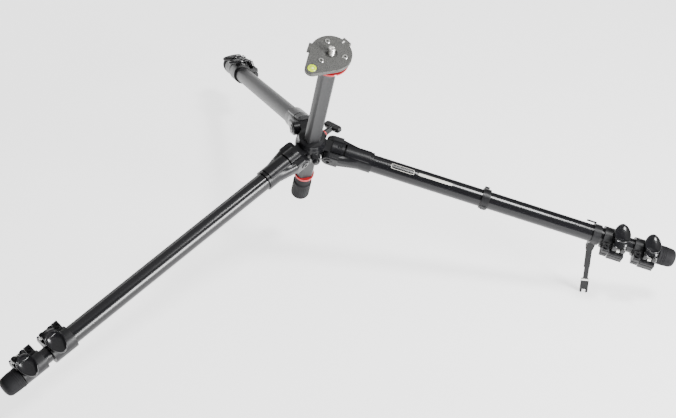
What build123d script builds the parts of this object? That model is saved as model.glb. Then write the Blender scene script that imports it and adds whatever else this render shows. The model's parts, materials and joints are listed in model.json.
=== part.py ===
"""Camera tripod with three-section legs, standing low with its column leaning forward.

Built part by part in millimetres. Each leg is drawn in its own frame: +X runs down the leg from its pivot,
+Y along the pivot pin, +Z away from the folded column. The head frame has +Z up the column and its origin
where the three pivots' plane crosses the column's axis. Everything is then set down on the floor's frame.
"""
from build123d import *
from math import atan2, cos, degrees, hypot, radians, sin, sqrt
import os

# ---- stance ---------------------------------------------------------------------------------
leg_names = ("left", "right", "rear")
leg_azimuth = {"left": 210.0, "right": 330.0, "rear": 90.0}
leg_spread = {"left": 88.0, "right": 88.0, "rear": 46.0}    # degrees between leg and column
folded_spread, widest_spread = 3.0, 88.0

# ---- fits -----------------------------------------------------------------------------------
running = 0.05                      # radial clearance of anything that slides or turns
seat = 0.03                         # radial clearance of what is glued or pressed
side_play = 0.4                     # flat faces that pass each other

# ---- leg tubes ------------------------------------------------------------------------------
tube_wall, glide_wall = 1.2, 0.8
upper_r = 13.0
middle_r = upper_r - tube_wall - glide_wall
lower_r = middle_r - tube_wall - glide_wall
leg_reach = 528.0                   # pivot to the end of the foot, closed
foot_length = 27.0
foot_r, foot_tip_r, foot_edge_r = lower_r + 6.0, lower_r + 4.8, 6.5
foot_gap = 1.0
foot_socket = 13.0
glide_length = 27.0
section_step = 4.0                  # each tube starts this far below the one round it
tube_overlap = 6.0                  # left between glide and lock at full stretch

# ---- leg's top casting ----------------------------------------------------------------------
lug_half = 9.6                      # spider's lug, across the pivot
lug_r = 10.0
ear_half = 20.5                     # casting, across the pivot
ear_r = 10.5
slot_depth = 12.0
block_start = 14.0
sleeve_start, neck_end, sleeve_end = 29.0, 44.0, 62.7
sleeve_r = upper_r + 2.25
rail_r, rail_half = sleeve_r + 1.75, 10.0
tab_inner, tab_outer, tab_travel = -3.0, 18.5, 2.5
tab_floor = 5.0
pivot_pin_r, pivot_head_r, pivot_head = 4.0, 6.5, 4.0
pivot_head_proud = 1.2

# ---- leg lock -------------------------------------------------------------------------------
lock_length = 36.0
lock_grip = 19.0                    # length that holds the outer tube
lock_wall = 3.3
lock_gap = 11.4                     # middle tube seen between the two locks
slit = 1.6
fix_lug = (1.5, 11.0)
clamp_lug = (13.0, lock_length - 1.0)
lug_out, lug_low = 11.5, -11.0
clamp_top = 4.2
fix_top = 8.0
pin_out, pin_up, pin_r = 4.2, 9.5, 1.8
knuckle_r, knuckle_gap = 5.0, 5.6
eye_r, tension_r = 4.0, 2.0
fix_screw_r, fix_head_r, fix_head = 2.2, 4.0, 3.0
paddle_tilt, paddle_thick = 4.0, 5.0
paddle_half_x, paddle_half_y = 12.5, 17.0
paddle_out, paddle_shift = 3.9, 2.0 # paddle's middle above the lock ring and off the tube's line
dish_r, dish_depth = 36.0, 1.5
lever_swing = 105.0                 # a lever's swing from shut to open

# ---- column ---------------------------------------------------------------------------------
column_r = 12.8                     # round corners
column_flat = column_r - 2.5        # the three flats
column_wall = 1.5
column_low, column_high = -86.0, 203.0
head_low, head_seat, head_top = column_high - 15.0, column_high + 6.0, column_high + 17.0
head_neck_r, head_flare_r = column_r + 1.6, column_r + 4.7
head_rim_r, head_core_r = 24.0, 14.0
head_ring_r, head_ring = 26.5, 2.8
plate_r, plate_thick = 28.5, 5.6
lobe_r, lobe_out, lobe_azimuth = 9.5, 37.0, 212.0
tab_width, tab_depth, tab_azimuths = 13.0, 3.2, (30.0, 150.0)
screw_r, screw_root_r, screw_height = 4.7625, 4.0, 10.0
screw_well_r, screw_well = 8.0, 1.5
set_screw_r, set_screw_circle, set_screw_proud = 3.9, 19.0, 0.8
set_screw_length, hex_key = 8.0, 3.0
vial_r, vial_depth, vial_dome = 6.0, 4.0, 0.7
end_ring_top, end_ring, end_ring_r = -79.0, 4.0, column_r + 1.9
end_neck_r, end_knob_r, end_low = 12.3, 14.0, -139.0
end_neck, end_stud_r, end_stud = 17.0, 8.0, 26.0
end_pitch, end_turns = 1.5, 4       # end knob's thread, and the turns that let the ring down

# ---- spider ---------------------------------------------------------------------------------
spider_top, spider_bottom = 20.0, -10.0
bush_r = column_r + 2.7
bush_flange_r, bush_flange = bush_r + 2.0, 2.0
collar_r, skirt_r, foot_rim_r = bush_r + 4.0, bush_r + 7.5, bush_r + 4.5
pivot_radius = skirt_r + 8.2        # column's axis to each leg's pivot
boss_reach = pivot_radius - 4.7
lock_boss_r, lock_azimuth = 7.0, 30.0
link_azimuth, link_width, link_height = 270.0, 14.0, 15.0
link_reach, link_plug_r, link_plug_reach = 30.0, 5.0, 34.5

# ---- column lock ----------------------------------------------------------------------------
pad_half_width, pad_half_height, pad_gap = 4.5, 6.0, 0.1
stud_r = 4.0
knob_collar_r, knob_collar, knob_collar_gap = 5.5, 2.0, 0.7
knob_neck_r, wing_start = 4.6, pivot_radius + 9.8
wing_end = wing_start + 11.0
wing_span, wing_thick, wing_turn = 15.4, 7.5, -25.0
lock_pitch = 1.25
stud_end = wing_start + 6

# ---- tool and its clips ---------------------------------------------------------------------
clip_places, clip_width, clip_wall = (230.0, 400.5), 11.5, 2.3
finger_turn = 32.0                  # sprung finger, about the leg from its +Y side
tool_pivot, tool_length, tool_thick = 24.0, 84.0, 4.0
tool_eye_r, tool_pin_r, tool_arm = 5.2, 2.0, 9.0
tool_head_width, tool_head_length, tool_jaw = 12.0, 25.0, 5.5


# ---- small makers ---------------------------------------------------------------------------
def rod(start, end, r, r_in=0.0):
    """A round bar or tube from one point to another."""
    start, end = Vector(*start), Vector(*end)
    face = Circle(r) - Circle(r_in) if r_in else Circle(r)
    return extrude(Plane(origin=start, z_dir=end - start) * face, (end - start).length)


def block(x, y, z):
    """A box between two limits on each axis."""
    size = [b - a for a, b in (x, y, z)]
    return Pos(*[(a + b) / 2 for a, b in (x, y, z)]) * Box(*size)


def turned(points):
    """A solid of revolution about +Z from (radius, height) points."""
    face = make_face(Plane.XZ * Polyline(*points, close=True))
    return revolve(face, Axis.Z)


def spun(shape, azimuth):
    """The same shape turned about +Z."""
    return Rot(0, 0, azimuth) * shape


def one(*shapes):
    """One solid from overlapping ones."""
    whole = shapes[0]
    for shape in shapes[1:]:
        whole = whole + shape
    return whole


def softened(shape, edges, size):
    """The shape with a fillet, no larger than its edges allow."""
    return fillet(edges, min(size, shape.max_fillet(edges, 0.1, 12) * 0.9))


# ---- places along the leg -------------------------------------------------------------------
foot_start = leg_reach - foot_length
lower_lock_x = foot_start - foot_gap - lock_length
upper_lock_x = lower_lock_x - lock_gap - lock_length
middle_start = sleeve_start + section_step
lower_start = middle_start + section_step
upper_ring_r, lower_ring_r = upper_r + lock_wall, middle_r + lock_wall
middle_travel = upper_lock_x + lock_grip - (middle_start + glide_length) - tube_overlap
lower_travel = lower_lock_x + lock_grip - (lower_start + glide_length) - tube_overlap


# ---- one leg's pieces, in the leg's frame ---------------------------------------------------
def leg_casting():
    """Forked casting: two ears round the spider's lug, and a sleeve that holds the upper tube."""
    slot_half = lug_half + side_play
    root = Plane.YZ.offset(block_start) * RectangleRounded(2 * ear_half, 2 * ear_r, ear_r * 0.7)
    body = loft([root, Plane.YZ.offset(neck_end) * Circle(sleeve_r)])
    body += rod((neck_end, 0, 0), (sleeve_end, 0, 0), sleeve_r)
    rail = rod((tab_outer + tab_travel, 0, 0), (sleeve_end - 5, 0, 0), rail_r)
    body += rail & block((0, sleeve_end), (-rail_half, rail_half), (0, rail_r))
    for side in (-1, 1):
        inner, outer = sorted((side * slot_half, side * ear_half))
        barrel = rod((0, inner, 0), (0, outer, 0), ear_r)
        rim = barrel.edges().filter_by(GeomType.CIRCLE).sort_by(Axis.Y)[-1 if side > 0 else 0]
        body += fillet(rim, 2.5)
        body += block((0, block_start), (inner, outer), (-ear_r, ear_r)) & barrel_skirt(side)
    body -= block((-ear_r, slot_depth), (-slot_half, slot_half), (-rail_r, rail_r))
    channel = rail_half + side_play
    body -= block((0, tab_outer + tab_travel), (-channel, channel), (tab_floor - side_play, rail_r))
    body -= rod((sleeve_start, 0, 0), (sleeve_end, 0, 0), upper_r + seat)
    body -= rod((0, -ear_half, 0), (0, ear_half, 0), pivot_pin_r + running)
    for side in (-1, 1):
        seat_y = side * (ear_half + pivot_head_proud - pivot_head)
        body -= rod((0, seat_y, 0), (0, side * ear_half, 0), pivot_head_r + running)
    return body


def barrel_skirt(side):
    """Rounded outer corner that carries an ear's end on to the block."""
    reach = side * (ear_half - 2.5)
    core = block((0, block_start), (min(0, reach), max(0, reach)), (-ear_r, ear_r))
    round_side = block((0, block_start), (-ear_half, ear_half), (-ear_r + 2.5, ear_r - 2.5))
    for z in (-1, 1):
        round_side += rod((0, reach, z * (ear_r - 2.5)), (block_start, reach, z * (ear_r - 2.5)), 2.5)
    return core + round_side


def pivot_bolt():
    """Through bolt with a low round head at each end, hex socket in both."""
    reach = ear_half + pivot_head_proud
    bolt = rod((0, -reach, 0), (0, reach, 0), pivot_pin_r)
    for side in (-1, 1):
        head = rod((0, side * (reach - pivot_head + side_play), 0), (0, side * reach, 0), pivot_head_r)
        rim = head.edges().filter_by(GeomType.CIRCLE).sort_by(Axis.Y)[-1 if side > 0 else 0]
        bolt += fillet(rim, 1.2)
        socket = Plane(origin=(0, side * reach, 0), z_dir=(0, -side, 0)) * RegularPolygon(2.9, 6)
        bolt -= extrude(socket, 2.2)
    return bolt


def angle_tab():
    """Sliding catch over the lug. Its hollow underside clears the lug at every leg angle."""
    tab = rod((tab_inner, 0, 0), (tab_outer, 0, 0), rail_r)
    tab &= block((0, tab_outer), (-rail_half, rail_half), (tab_floor, rail_r))
    tab -= rod((0, -rail_half, 0), (0, rail_half, 0), lug_r + side_play)
    for ridge in range(3):
        x = tab_outer - 5.0 - 2.4 * ridge
        tab -= rod((x, -rail_half, rail_r + 0.2), (x, rail_half, rail_r + 0.2), 0.8)
    return tab


def leg_tube(start, end, r):
    """A plain tube along the leg."""
    return rod((start, 0, 0), (end, 0, 0), r, r - tube_wall)


def glide(start, tube_r, outer_bore):
    """Plastic sleeve on the top end of a tube, running in the tube round it."""
    return rod((start, 0, 0), (start + glide_length, 0, 0), outer_bore - running, tube_r + seat)


def lock_collar(x0, tube_r, inner_r):
    """Split clamp on a tube's lower end, with a fixing lug and a lug for the lever's bolt."""
    ring = tube_r + lock_wall
    lug_y = (-ring - lug_out, -ring + 3.0)
    body = rod((x0, 0, 0), (x0 + lock_length, 0, 0), ring)
    body += block((x0 + fix_lug[0], x0 + fix_lug[1]), lug_y, (-fix_top, fix_top))
    body += block((x0 + clamp_lug[0], x0 + clamp_lug[1]), lug_y, (lug_low, clamp_top))
    corners = body.edges().filter_by(Axis.X).group_by(Axis.Y)[0]
    body = fillet(corners, 2.0)
    body -= rod((x0, 0, 0), (x0 + lock_grip, 0, 0), tube_r + seat)
    body -= rod((x0, 0, 0), (x0 + lock_length, 0, 0), inner_r + running)
    body -= block((x0, x0 + lock_length), (-ring - lug_out, 0), (-slit / 2, slit / 2))
    for x, r in ((lug_middle(fix_lug), fix_screw_r), (lug_middle(clamp_lug), tension_r)):
        y = -ring - pin_out
        body -= rod((x0 + x, y, lug_low), (x0 + x, y, fix_top), r + 0.15)
    return body


def lug_middle(lug):
    """Half way along a lug."""
    return (lug[0] + lug[1]) / 2


def lock_bolts(x0, ring):
    """Fixing screw with its nut, and the tension bolt whose eye carries the lever's cross pin."""
    y = -ring - pin_out
    x_fix, x_clamp = x0 + lug_middle(fix_lug), x0 + lug_middle(clamp_lug)
    screw = rod((x_fix, y, -fix_top), (x_fix, y, fix_top), fix_screw_r)
    screw += rod((x_fix, y, fix_top), (x_fix, y, fix_top + fix_head), fix_head_r)
    screw -= extrude(Plane((x_fix, y, fix_top + fix_head), z_dir=(0, 0, -1)) * RegularPolygon(1.7, 6), 2)
    nut = Plane((x_fix, y, -fix_top), z_dir=(0, 0, -1)) * RegularPolygon(4.0, 6)
    screw += extrude(nut, 3.2)
    bolt = rod((x_clamp, y, lug_low - 4.0), (x_clamp, y, pin_up), tension_r)
    nut = Plane((x_clamp, y, lug_low), z_dir=(0, 0, -1)) * RegularPolygon(4.4, 6)
    bolt += extrude(nut, 4.0)
    bolt += rod((x_clamp - 2.4, y, pin_up), (x_clamp + 2.4, y, pin_up), eye_r)
    bolt += rod((x0 + clamp_lug[0], y, pin_up), (x0 + clamp_lug[1], y, pin_up), pin_r)
    return Compound(children=[screw.solid(), bolt.solid()])


def lock_lever(x0, ring):
    """Flip lever: knuckles on the cross pin, an arm over the tube and a dished oval paddle."""
    y_pin, middle = -ring - pin_out, x0 + lug_middle(clamp_lug)
    low, high = x0 + clamp_lug[0] + 0.5, x0 + clamp_lug[1] - 0.5
    top = ring + paddle_out + paddle_thick / 2
    tilt = Pos(middle, paddle_shift, ring + paddle_out) * Rot(-paddle_tilt, 0, 0)
    paddle = extrude(Pos(0, 0, -paddle_thick / 2) * Ellipse(paddle_half_x, paddle_half_y), paddle_thick)
    paddle -= Pos(0, 0, paddle_thick / 2 + dish_r - dish_depth) * Sphere(dish_r)
    outline = Polyline((y_pin - 4.4, pin_up + 1.0), (y_pin - 1.5, top - 4.8), (y_pin + 5.0, top - 0.8),
                       (-2.0, top - 1.8), (-2.0, ring), (y_pin + knuckle_r, pin_up), close=True)
    arm = extrude(Plane.YZ.offset(low) * make_face(outline), high - low)
    lever = arm + tilt * paddle + rod((low, y_pin, pin_up), (high, y_pin, pin_up), knuckle_r)
    lever -= rod((x0, 0, 0), (x0 + lock_length, 0, 0), ring + 0.6)
    gap = (middle - knuckle_gap / 2, middle + knuckle_gap / 2)
    lever -= rod((gap[0], y_pin, pin_up), (gap[1], y_pin, pin_up), knuckle_r + 0.3)
    lever -= rod((x0, y_pin, pin_up), (x0 + lock_length, y_pin, pin_up), pin_r + running)
    return lever.solid()


def foot():
    """Rubber foot with a rounded edge, closed at the end, pushed on the lower tube."""
    flat = foot_tip_r - foot_edge_r
    edge = leg_reach - foot_edge_r
    outline = [
        Line((foot_start, 0), (foot_start, foot_r)),
        Line((foot_start, foot_r), (edge, foot_tip_r)),
        RadiusArc((edge, foot_tip_r), (leg_reach, flat), foot_edge_r),
        Line((leg_reach, flat), (leg_reach, 0)),
        Line((leg_reach, 0), (foot_start, 0)),
    ]
    body = revolve(make_face(outline), Axis.X)
    return body - rod((foot_start, 0, 0), (foot_start + foot_socket, 0, 0), lower_r + seat)


# ---- spider and column, in the head frame ---------------------------------------------------
def column_section(grow=0.0):
    """Round bar's section with three flats."""
    face = Circle(column_r + grow)
    for azimuth in (lock_azimuth, lock_azimuth + 120, lock_azimuth + 240):
        cut = Pos(column_flat + grow + column_r, 0) * Rectangle(2 * column_r, 4 * column_r)
        face -= Rot(0, 0, azimuth) * cut
    return face


def prism(face, low, high):
    """A flat section carried up the column's axis."""
    return extrude(Pos(0, 0, low) * face, high - low)


def spider():
    """Casting with a collar round the column, three leg lugs, the lock's boss and the accessory boss."""
    body = turned([(0, spider_bottom), (foot_rim_r, spider_bottom), (skirt_r, -6), (skirt_r, 6),
                   (collar_r + 1.0, 12), (collar_r, spider_top), (0, spider_top)])
    for azimuth in leg_azimuth.values():
        lug = block((0, pivot_radius), (-lug_half, lug_half), (-lug_r, lug_r))
        lug += rod((pivot_radius, -lug_half, 0), (pivot_radius, lug_half, 0), lug_r)
        lug -= rod((pivot_radius, -lug_half, 0), (pivot_radius, lug_half, 0), pivot_pin_r + running)
        body += spun(lug, azimuth)
    body += spun(rod((0, 0, 0), (boss_reach, 0, 0), lock_boss_r), lock_azimuth)
    half_w, half_h = link_width / 2, link_height / 2
    link = block((0, link_reach), (-half_w, half_w), (-half_h, half_h))
    link = fillet(link.edges().filter_by(Axis.X), 3.0)
    plug = rod((link_reach - 1, 0, 0), (link_plug_reach, 0, 0), link_plug_r)
    plug = fillet(plug.edges().filter_by(GeomType.CIRCLE).sort_by(Axis.X)[-1], 2.0)
    body += spun(link + plug, link_azimuth)
    body -= spun(rod((0, 0, 0), (boss_reach, 0, 0), stud_r + running), lock_azimuth)
    body -= rod((0, 0, spider_bottom), (0, 0, spider_top), bush_r + seat)
    body -= rod((0, 0, spider_top - bush_flange), (0, 0, spider_top), bush_flange_r + seat)
    return body


def column_bush():
    """Plastic liner of the spider's bore, with a window for the lock pad."""
    body = rod((0, 0, spider_bottom), (0, 0, spider_top), bush_r)
    body += rod((0, 0, spider_top - bush_flange), (0, 0, spider_top), bush_flange_r)
    body -= prism(column_section(running), spider_bottom, spider_top)
    half_w, half_h = pad_half_width + side_play, pad_half_height + side_play
    return body - spun(block((0, bush_r), (-half_w, half_w), (-half_h, half_h)), lock_azimuth)


def column_tube():
    """Hollow column with three flats."""
    bore = Circle(column_flat - column_wall)
    return prism(column_section() - bore, column_low, column_high)


def column_head():
    """Turned head on the column's top end, carrying the ring and the plate."""
    body = turned([(0, head_low), (head_neck_r, head_low), (head_neck_r, head_low + 6),
                   (head_flare_r, head_seat - 4), (head_rim_r, head_seat - 1), (head_rim_r, head_seat),
                   (head_core_r, head_seat), (head_core_r, head_top), (0, head_top)])
    body -= prism(column_section(seat), head_low, column_high)
    return body - rod((0, 0, column_high), (0, 0, head_top), screw_root_r + seat)


def head_ring_piece():
    """Flat ring between the column's head and the plate."""
    return rod((0, 0, head_seat), (0, 0, head_seat + head_ring), head_ring_r, head_core_r + seat)


def plate_outline():
    """Disc drawn out to a lobe for the level: two circles and the tangents that join them."""
    away = Rot(0, 0, lobe_azimuth)
    slope = (plate_r - lobe_r) / lobe_out
    rise = sqrt(1 - slope * slope)
    corners = [(plate_r * slope, plate_r * rise), (lobe_out + lobe_r * slope, lobe_r * rise)]
    mirrored = [(x, -y) for x, y in reversed(corners)]
    web = make_face(Polyline(*corners, *mirrored, close=True))
    return Circle(plate_r) + away * web + away * (Pos(lobe_out, 0) * Circle(lobe_r))


def head_plate():
    """Plate that a head screws down on, with two finger tabs and a lobe for the level."""
    face = plate_outline()
    for azimuth in tab_azimuths:
        face += Rot(0, 0, azimuth) * (Pos(plate_r, 0) * Rectangle(2 * tab_depth, tab_width))
    top = head_top + plate_thick
    body = prism(face, head_top, top)
    body = chamfer(body.faces().sort_by(Axis.Z)[-1].outer_wire().edges(), 0.6)
    body -= rod((0, 0, head_top), (0, 0, top), screw_root_r + seat)
    body -= rod((0, 0, top - screw_well), (0, 0, top), screw_well_r)
    for azimuth in leg_azimuth.values():
        hole = rod((set_screw_circle, 0, head_top), (set_screw_circle, 0, top), set_screw_r + running)
        body -= spun(hole, azimuth)
    vial_seat = rod((lobe_out, 0, top - vial_depth), (lobe_out, 0, top), vial_r + seat)
    return body - spun(vial_seat, lobe_azimuth)


def head_screw():
    """Camera-head screw, standing up through the plate on a narrower root, with a driving slot."""
    shoulder = head_top + plate_thick - screw_well
    top = head_top + plate_thick + screw_height
    body = rod((0, 0, shoulder), (0, 0, top), screw_r)
    body = chamfer(body.edges().sort_by(Axis.Z)[-1], 0.8)
    body += rod((0, 0, column_high), (0, 0, shoulder), screw_root_r)
    return body - block((-screw_r, screw_r), (-0.7, 0.7), (top - 1.6, top))


def set_screws():
    """Three grub screws that lock a head on the plate."""
    top = head_top + plate_thick + set_screw_proud
    screws = []
    for azimuth in leg_azimuth.values():
        screw = rod((set_screw_circle, 0, top - set_screw_length), (set_screw_circle, 0, top), set_screw_r)
        screw = chamfer(screw.edges().sort_by(Axis.Z)[-1], 0.5)
        socket = Pos(set_screw_circle, 0, top - 2.5) * RegularPolygon(hex_key / sqrt(3), 6)
        screws.append(spun(screw - extrude(socket, 2.5), azimuth).solid())
    return Compound(children=screws)


def level_vial():
    """Round spirit level with a low domed top."""
    low = head_top + plate_thick - vial_depth
    rim = head_top + plate_thick
    dome_r = (vial_r ** 2 + vial_dome ** 2) / (2 * vial_dome)
    body = rod((lobe_out, 0, low), (lobe_out, 0, rim + vial_dome), vial_r)
    body &= Pos(lobe_out, 0, rim + vial_dome - dome_r) * Sphere(dome_r)
    return spun(body, lobe_azimuth)


def column_end_ring():
    """Coloured ring round the column's lower end."""
    ring = prism(Circle(end_ring_r), end_ring_top - end_ring, end_ring_top)
    return ring - prism(column_section(seat), end_ring_top - end_ring, end_ring_top)


def column_end_knob():
    """Screwed end knob that closes the column and parts its lower piece."""
    top = min(end_ring_top - end_ring, column_low) - side_play
    neck_low = top - end_neck
    return turned([(0, end_low), (end_knob_r - 3, end_low), (end_knob_r, end_low + 3),
                   (end_knob_r, neck_low - 3), (end_neck_r, neck_low), (end_neck_r, top),
                   (end_stud_r, top), (end_stud_r, top + end_stud), (0, top + end_stud)])


def lock_pad():
    """Clamp pad between the stud and the column's flat."""
    inner = column_flat + pad_gap
    body = block((inner, bush_r), (-pad_half_width, pad_half_width), (-pad_half_height, pad_half_height))
    return spun(body, lock_azimuth) & prism(Circle(bush_r), -pad_half_height, pad_half_height)


def knob_collar_piece():
    """Coloured washer on the knob's foot."""
    start = boss_reach + knob_collar_gap
    return spun(rod((start, 0, 0), (start + knob_collar, 0, 0), knob_collar_r, stud_r + seat), lock_azimuth)


def lock_knob():
    """Wing knob moulded on the stud."""
    start = boss_reach + knob_collar_gap + knob_collar
    neck = rod((start, 0, 0), (wing_end - 3, 0, 0), knob_neck_r)
    half = wing_thick / 2
    wings = block((wing_start, wing_end), (-wing_span, wing_span), (-half, half))
    wings = fillet(wings.edges().filter_by(Axis.Z), 4.5)
    wings = softened(wings, wings.edges(), 2.2)
    knob = Rot(wing_turn, 0, 0) * (neck + wings)
    return spun(knob - rod((start, 0, 0), (stud_end, 0, 0), stud_r + seat), lock_azimuth)


def lock_stud():
    """Threaded steel stud that the knob turns."""
    return spun(rod((bush_r + pad_gap, 0, 0), (stud_end, 0, 0), stud_r), lock_azimuth)


# ---- where everything stands ----------------------------------------------------------------
def leg_frame(name, spread=None):
    """The leg's frame, seen from the head frame."""
    azimuth, angle = radians(leg_azimuth[name]), radians(leg_spread[name] if spread is None else spread)
    outward = Vector(cos(azimuth), sin(azimuth), 0)
    along = outward * sin(angle) - Vector(0, 0, 1) * cos(angle)
    across = Vector(-sin(azimuth), cos(azimuth), 0)
    return Plane(origin=outward * pivot_radius, x_dir=along, z_dir=along.cross(across))


def floor_under_feet():
    """The plane that all three rounded feet touch: its upward normal and a point on it."""
    flat, upward = foot_tip_r - foot_edge_r, Vector(0, 0, 1)
    for _ in range(12):
        touch = []
        for name in leg_names:
            frame = leg_frame(name)
            along = frame.x_dir
            down = (along * upward.dot(along) - upward).normalized()
            touch.append(frame.origin + along * (leg_reach - foot_edge_r) + down * flat)
        left, right, rear = touch
        upward = (right - left).cross(rear - left).normalized()
    return upward, left - upward * foot_edge_r


def head_in_room():
    """The head frame's place over the floor."""
    upward, point = floor_under_feet()
    return Plane(origin=point, x_dir=(1, 0, 0), z_dir=upward).location.inverse()


def hang_of_tool():
    """How far the clip is turned about the right leg, and the tool about its pin, to hang plumb."""
    frame, down = leg_frame("right"), floor_under_feet()[0] * -1
    along, across, over = down.dot(frame.x_dir), down.dot(frame.y_dir), down.dot(frame.z_dir)
    return degrees(atan2(-over, -across)), degrees(atan2(along, hypot(across, over)))


tool_lean, tool_swing = hang_of_tool()
tool_place = (Rot(tool_lean, 0, 0) * Pos(clip_places[1] + clip_width / 2, -tool_pivot, 0)
              * Rot(0, 0, tool_swing))


# ---- tool and its clips, in the right leg's frame -------------------------------------------
def ring_clip(start):
    """Open plastic ring that snaps round the upper tube."""
    return rod((start, 0, 0), (start + clip_width, 0, 0), upper_r + seat + clip_wall, upper_r + seat)


def tool_clips():
    """Two ring clips. The lower one has the tool's fork and a sprung finger."""
    upper, lower = (ring_clip(start) for start in clip_places)
    start = clip_places[0]
    rim = upper_r + clip_wall
    upper += block((start + 2, start + 9), (rim - 1.5, rim + 4.5), (-2.5, 3.5))
    upper += block((start + 2, start + 9), (-rim - 1.8, -rim + 1.5), (-3.0, 3.0))
    upper -= block((start, start + clip_width), (-4.0, 4.0), (-rim - 2, 0))
    start = clip_places[1]
    middle = start + clip_width / 2
    fork_half = tool_thick / 2 + 2.2
    fork = block((start, start + clip_width), (-tool_pivot, -rim + 1.5), (-fork_half, fork_half))
    fork += rod((middle, -tool_pivot, -fork_half), (middle, -tool_pivot, fork_half), clip_width / 2)
    gap = tool_thick / 2 + 0.2
    fork -= block((start, start + clip_width), (-tool_pivot - clip_width, -tool_pivot + 5.2), (-gap, gap))
    fork += rod((middle, -tool_pivot, -fork_half), (middle, -tool_pivot, fork_half), tool_pin_r)
    lower += fork
    lower = Rot(tool_lean, 0, 0) * lower
    finger = block((start - 12, start + 2), (rim - 0.2, rim + 2.4), (-2.5, 2.5))
    finger += block((start, start + 2), (rim - 1.8, rim + 2.4), (-2.5, 2.5))
    lower += Rot(finger_turn, 0, 0) * finger
    lower -= rod((start - 14, 0, 0), (start + clip_width, 0, 0), upper_r + seat)
    return Compound(children=[upper.solid(), lower.solid()])


def spanner():
    """Flat open-ended spanner for the lock nuts, hung by its eye from the lower clip."""
    half = tool_thick / 2
    body = rod((0, 0, -half), (0, 0, half), tool_eye_r)
    neck = tool_length - tool_head_length
    body += block((-tool_arm / 2, tool_arm / 2), (-neck * 0.62, 0), (-half, half))
    arm = (-tool_arm / 2 + 1.2, tool_arm / 2 - 0.6)
    body += block(arm, (-neck - 2, -neck * 0.6), (-half * 0.8, half * 0.8))
    head = block((-tool_head_width / 2, tool_head_width / 2), (-tool_length, -neck), (-half, half))
    body += fillet(head.edges().filter_by(Axis.Z), 2.5)
    jaw = block((-tool_jaw / 2, tool_jaw / 2), (-tool_length, -tool_length + 6.0), (-half, half))
    body -= jaw
    body -= rod((0, 0, -half), (0, 0, half), tool_pin_r + running)
    return tool_place * body.solid()


def make_nodes():
    """Every node in the head frame, by name."""
    nodes = {"spider": spider(), "column_bush": column_bush(), "column_tube": column_tube(),
             "column_head": column_head(), "head_ring": head_ring_piece(), "head_plate": head_plate(),
             "head_screw": head_screw(), "set_screws": set_screws(), "level_vial": level_vial(),
             "column_end_ring": column_end_ring(), "column_end_knob": column_end_knob(),
             "lock_pad": lock_pad(), "lock_knob": lock_knob(), "lock_knob_collar": knob_collar_piece(),
             "lock_stud": lock_stud()}
    leg = {"leg_casting": leg_casting(), "angle_tab": angle_tab(),
           "upper_tube": leg_tube(sleeve_start, upper_lock_x + lock_grip, upper_r),
           "middle_tube": leg_tube(middle_start, lower_lock_x + lock_grip, middle_r),
           "lower_tube": leg_tube(lower_start, foot_start + foot_socket, lower_r),
           "middle_glide": glide(middle_start, middle_r, upper_r - tube_wall),
           "lower_glide": glide(lower_start, lower_r, middle_r - tube_wall),
           "upper_lock": lock_collar(upper_lock_x, upper_r, middle_r),
           "lower_lock": lock_collar(lower_lock_x, middle_r, lower_r),
           "upper_lock_bolts": lock_bolts(upper_lock_x, upper_ring_r),
           "lower_lock_bolts": lock_bolts(lower_lock_x, lower_ring_r),
           "upper_lever": lock_lever(upper_lock_x, upper_ring_r),
           "lower_lever": lock_lever(lower_lock_x, lower_ring_r),
           "foot": foot()}
    bolts = []
    for name in leg_names:
        place = leg_frame(name).location
        bolts.append((place * pivot_bolt()).solid())
        for piece, shape in leg.items():
            nodes[f"{piece}_{name}"] = place * shape
    nodes["pivot_bolts"] = Compound(children=bolts)
    place = leg_frame("right").location
    nodes["tool_clips"] = place * tool_clips()
    nodes["spanner"] = place * spanner()
    return nodes


head_place = head_in_room()
standing = {name: head_place * shape for name, shape in make_nodes().items()}
boxes = [shape.bounding_box() for shape in standing.values()]
centring = Pos(-(min(box.min.X for box in boxes) + max(box.max.X for box in boxes)) / 2,
               -(min(box.min.Y for box in boxes) + max(box.max.Y for box in boxes)) / 2,
               -min(box.min.Z for box in boxes))
head_place = centring * head_place

if __name__ == "__main__":
    os.makedirs("parts", exist_ok=True)
    for name, shape in standing.items():
        export_step(centring * shape, f"parts/{name}.step")
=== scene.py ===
"""Camera tripod: finishes, small made pieces, floor, light and view, laid out as an add-on."""
import json
from math import cos, pi, radians, sin, tau

import bpy
import numpy as np
from bpy.props import FloatProperty, FloatVectorProperty, IntProperty, PointerProperty
from mathutils import Matrix, Vector


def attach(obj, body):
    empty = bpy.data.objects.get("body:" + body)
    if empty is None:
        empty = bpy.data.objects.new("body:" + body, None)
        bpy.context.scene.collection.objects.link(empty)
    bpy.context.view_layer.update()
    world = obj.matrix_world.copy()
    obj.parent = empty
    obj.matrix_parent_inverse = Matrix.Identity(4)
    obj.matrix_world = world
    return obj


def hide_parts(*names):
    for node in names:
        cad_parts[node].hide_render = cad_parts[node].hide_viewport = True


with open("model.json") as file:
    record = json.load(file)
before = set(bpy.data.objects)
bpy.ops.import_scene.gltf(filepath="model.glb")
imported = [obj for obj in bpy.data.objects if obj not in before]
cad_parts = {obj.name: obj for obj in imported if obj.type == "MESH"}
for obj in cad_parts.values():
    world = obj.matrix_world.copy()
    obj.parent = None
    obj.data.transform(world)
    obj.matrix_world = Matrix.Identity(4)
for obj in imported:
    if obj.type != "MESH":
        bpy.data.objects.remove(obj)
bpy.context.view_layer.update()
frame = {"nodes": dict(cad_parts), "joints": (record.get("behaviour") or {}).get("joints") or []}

bl_info = {
    "name": "Camera tripod",
    "version": (1, 0, 0),
    "blender": (4, 5, 0),
    "location": "View3D > Sidebar > Tripod",
    "description": "Finishes a low-standing camera tripod: castings, tubes, locks, head plate, stage and light",
    "category": "Object",
}

nodes = frame["nodes"]
SIDES = ("left", "right", "rear")
ENDS = ("upper", "lower")


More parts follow.
